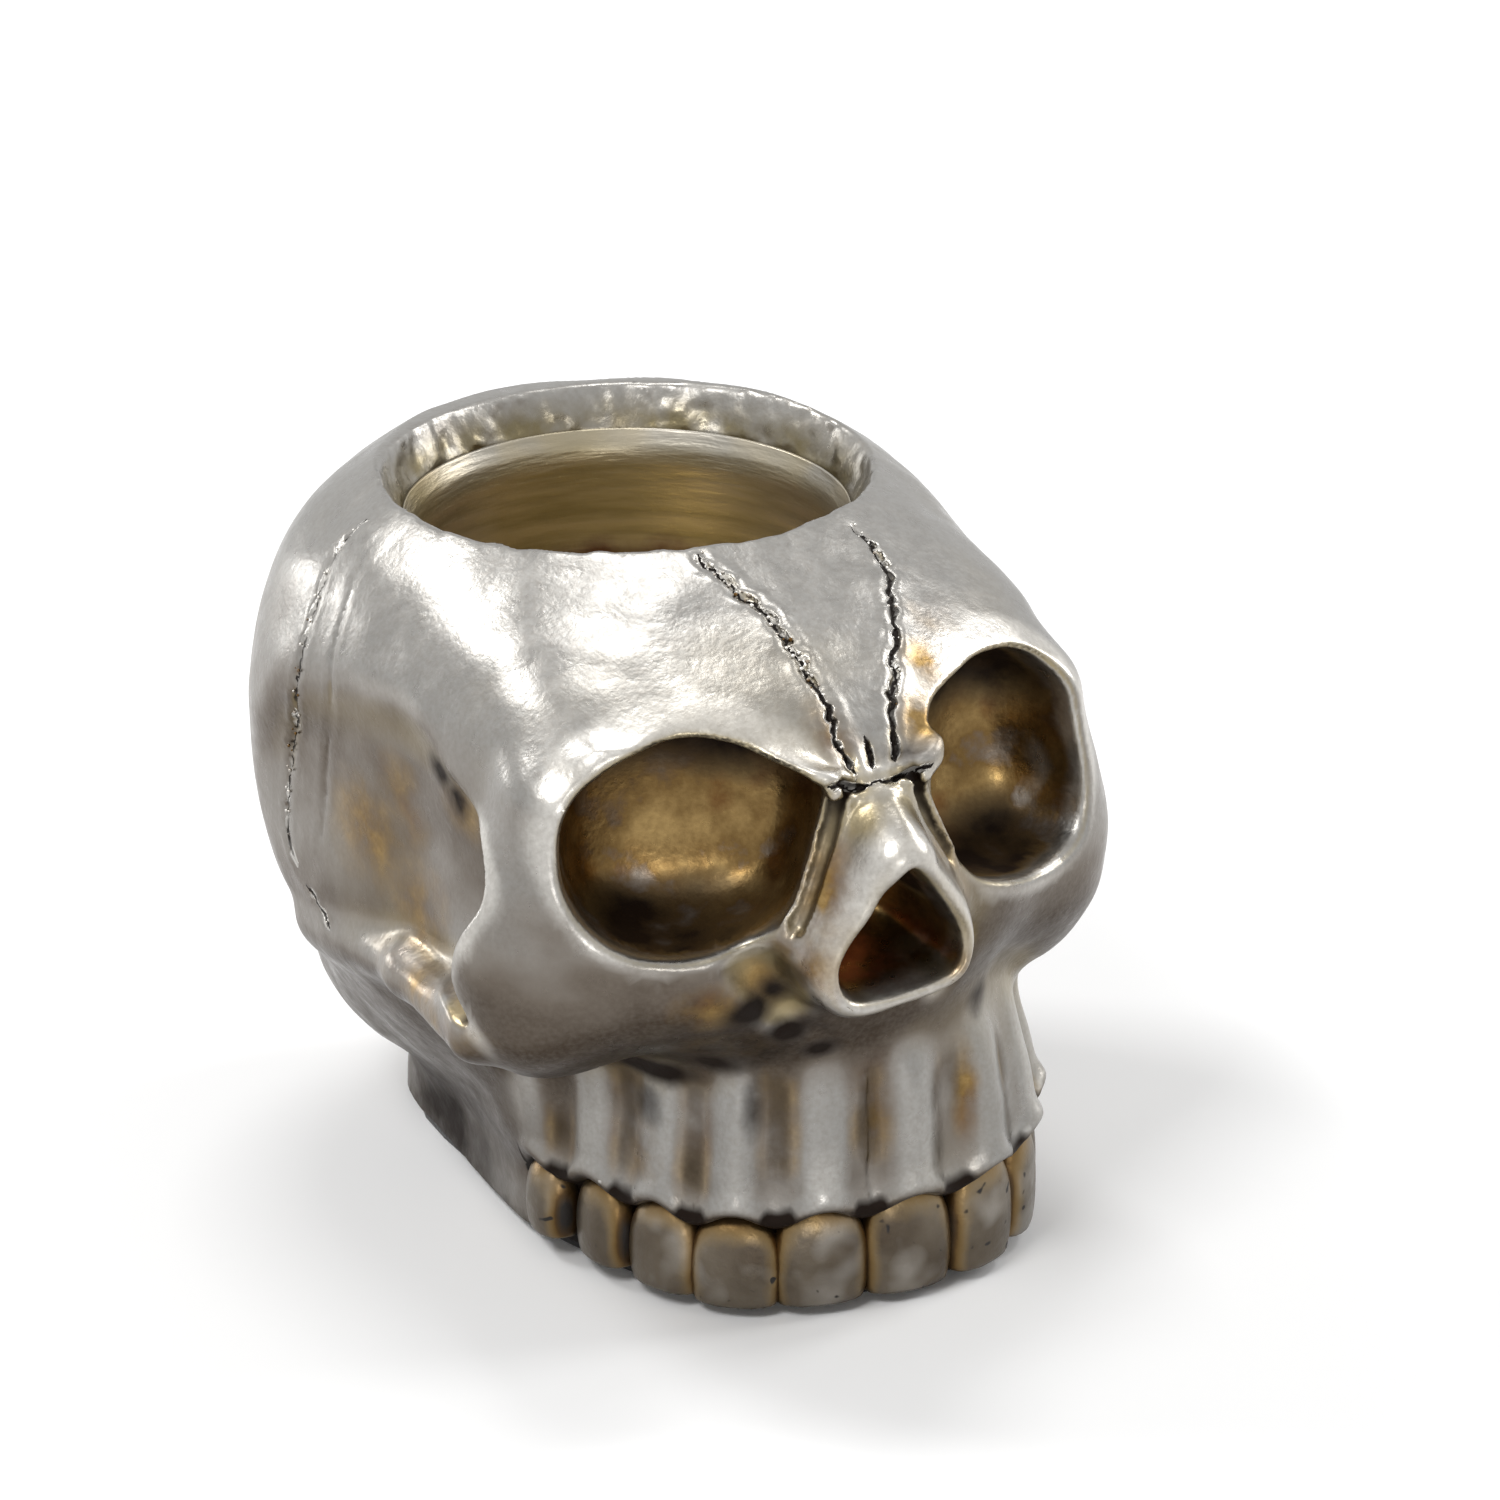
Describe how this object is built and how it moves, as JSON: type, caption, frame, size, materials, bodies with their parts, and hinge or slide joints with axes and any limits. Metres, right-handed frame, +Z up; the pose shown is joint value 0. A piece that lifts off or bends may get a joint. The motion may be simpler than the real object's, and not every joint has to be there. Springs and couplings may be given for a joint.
{
  "type": "candle holder",
  "caption": "Tealight holder shaped as a skull without its lower jaw: flat-cut crown with a lined bowl, deep eye sockets, nose opening, tooth row and a padded foot.",
  "frame": {"origin": "on the resting face of the pad, straight below the axis of the candle bowl", "axes": "+Z up along the bowl's axis; the face looks along -Y; +X is the skull's left side, on the viewer's right"},
  "size_m": [0.0732, 0.0976, 0.0745],
  "materials": {
    "skull": "cast resin in satin silver metallic paint, with a dark bronze wash in the recesses",
    "cup": "satin champagne metallic paint, brushed round",
    "plate": "bare cast resin",
    "pad": "dark felt"
  },
  "bodies": {
    "root": {"skull_casting": "skull", "candle_cup": "cup", "base_plate": "plate", "base_pad": "pad"}
  },
  "joints": []
}
